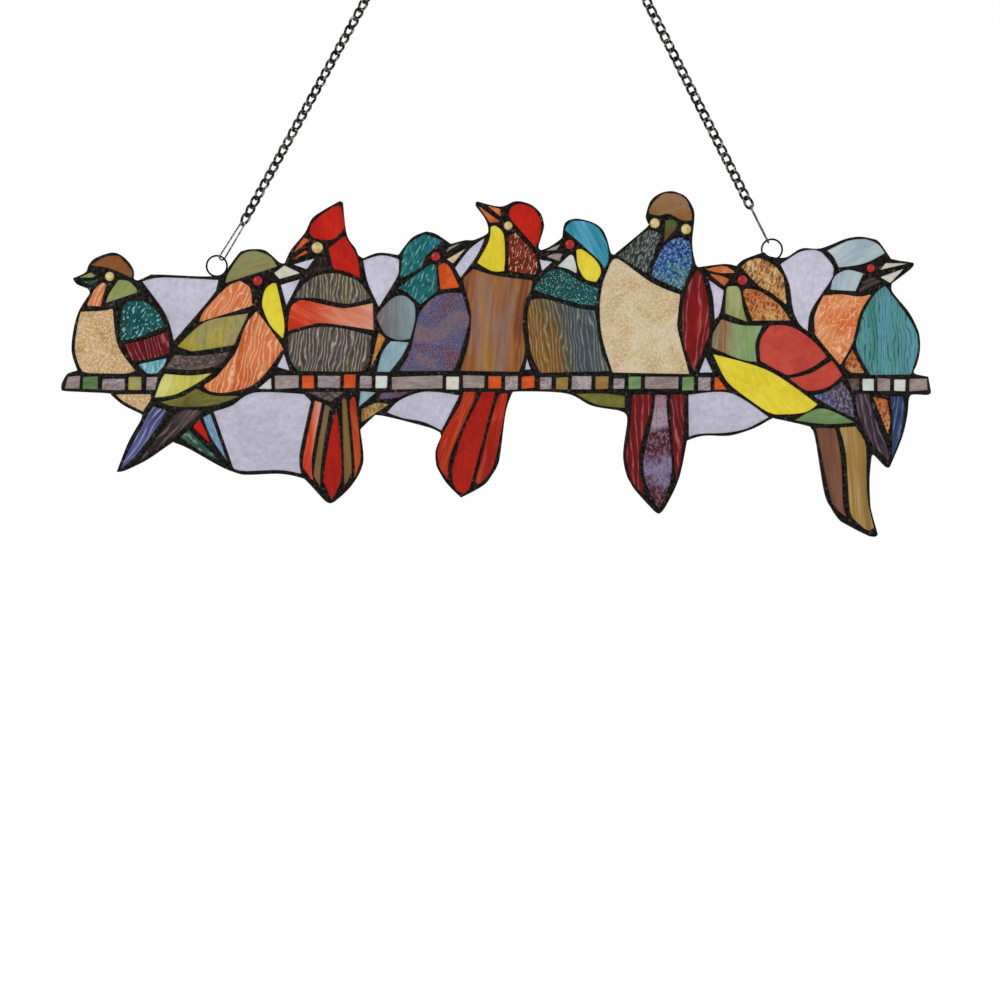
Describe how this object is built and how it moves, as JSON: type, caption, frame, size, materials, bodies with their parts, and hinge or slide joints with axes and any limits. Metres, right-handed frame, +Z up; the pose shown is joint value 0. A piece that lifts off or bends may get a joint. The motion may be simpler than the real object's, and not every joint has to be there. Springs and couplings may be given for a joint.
{
  "type": "hanging stained glass panel",
  "caption": "Leaded stained glass panel of birds on a perch, cut to their outline, with two top rings and a hanging chain.",
  "frame": {"origin": "the top of the hanging chain, where a nail or hook carries it", "axes": "+X along the panel's width, to the right in the front view, +Y through the glass towards the back, +Z up"},
  "size_m": [0.6105, 0.0058, 0.5652],
  "materials": {
    "solder": "black patina, satin",
    "chain_metal": "gunmetal, polished",
    "hook_metal": "bright tinned wire",
    "cream_glass": "coloured art glass",
    "teal_glass": "coloured art glass",
    "olive_glass": "coloured art glass",
    "peach_glass": "coloured art glass",
    "smoke_glass": "coloured art glass",
    "red_glass": "coloured art glass",
    "orange_glass": "coloured art glass",
    "purple_glass": "coloured art glass",
    "blue_glass": "coloured art glass",
    "slate_glass": "coloured art glass",
    "tan_glass": "coloured art glass",
    "brown_glass": "coloured art glass",
    "dark_red_glass": "coloured art glass",
    "green_glass": "coloured art glass",
    "gold_glass": "coloured art glass",
    "yellow_glass": "coloured art glass",
    "lavender_glass": "coloured art glass",
    "red_cabochon": "smooth cabochon",
    "gold_cabochon": "smooth cabochon"
  },
  "bodies": {
    "root": {"bird_1_breast": "cream_glass", "bird_1_eye": "gold_cabochon", "bird_1_wing": "teal_glass", "bird_2_breast": "peach_glass", "bird_2_eye": "red_cabochon", "bird_2_wing": "olive_glass", "bird_3_band": "red_glass", "bird_3_belly": "smoke_glass", "bird_3_eye": "gold_cabochon", "bird_3_shoulder": "smoke_glass", "bird_3_tail_middle": "red_glass", "bird_4_body": "purple_glass", "bird_4_eye": "red_cabochon", "bird_4_wing": "slate_glass", "bird_5_body": "brown_glass", "bird_5_eye": "gold_cabochon", "bird_5_tail_left": "orange_glass", "bird_5_tail_middle": "red_glass", "bird_5_tail_right": "orange_glass", "bird_6_belly": "olive_glass", "bird_6_breast": "teal_glass", "bird_6_crown": "blue_glass", "bird_6_eye": "red_cabochon", "bird_7_body": "tan_glass", "bird_7_breast": "blue_glass", "bird_7_eye_left": "gold_cabochon", "bird_7_eye_right": "gold_cabochon", "bird_7_leaf": "dark_red_glass", "bird_7_shoulder": "green_glass", "bird_7_tail_left": "red_glass", "bird_7_tail_middle": "purple_glass", "bird_7_tail_right": "dark_red_glass", "bird_8_back": "yellow_glass", "bird_8_breast": "green_glass", "bird_8_crown": "gold_glass", "bird_8_eye": "red_cabochon", "bird_8_tail_left": "brown_glass", "bird_8_tail_right": "tan_glass", "bird_8_wing": "red_glass", "bird_8_wing_edge": "red_glass", "bird_9_back": "orange_glass", "bird_9_breast": "teal_glass", "bird_9_crown": "blue_glass", "bird_9_eye": "red_cabochon", "chain_left": "chain_metal", "chain_right": "chain_metal", "clip_left": "hook_metal", "clip_right": "hook_metal", "end_link_left": "chain_metal", "end_link_right": "chain_metal", "ring_left": "chain_metal", "ring_right": "chain_metal", "sky_left": "lavender_glass", "sky_middle_left": "lavender_glass", "sky_right": "lavender_glass", "sky_under_left": "lavender_glass", "sky_under_middle": "lavender_glass", "sky_under_right": "lavender_glass", "solder_seams": "solder", "top_link": "chain_metal"}
  },
  "joints": []
}
